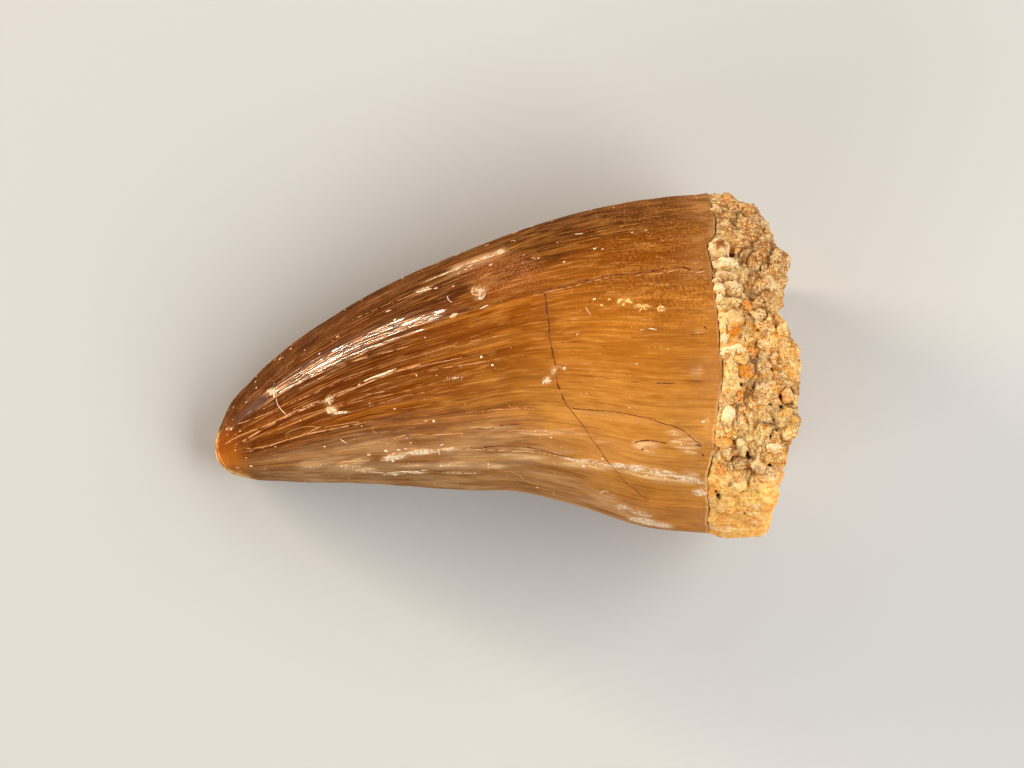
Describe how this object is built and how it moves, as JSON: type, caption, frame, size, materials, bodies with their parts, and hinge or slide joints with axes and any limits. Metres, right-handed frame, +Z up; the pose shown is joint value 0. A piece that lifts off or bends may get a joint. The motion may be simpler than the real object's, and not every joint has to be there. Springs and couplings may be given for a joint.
{
  "type": "fossil mosasaur tooth",
  "caption": "Curved conical fossil reptile tooth with a glossy ridged enamel crown, worn blunt tip and a broken, lumpy root end, lying on its inner face.",
  "frame": {"origin": "centre of the footprint, on the surface that the tooth lies on", "axes": "+X from the tip towards the root, +Y towards the front cutting edge, +Z up"},
  "size_m": [0.0586, 0.0344, 0.0284],
  "materials": {
    "enamel": "glossy amber-brown fossil enamel, darker along the front edge, with fine lengthwise ridges",
    "root_bone": "matt, porous tan and cream fossil bone with cemented sandy sediment"
  },
  "bodies": {
    "root": {"crown": "enamel", "root": "root_bone"}
  },
  "joints": []
}
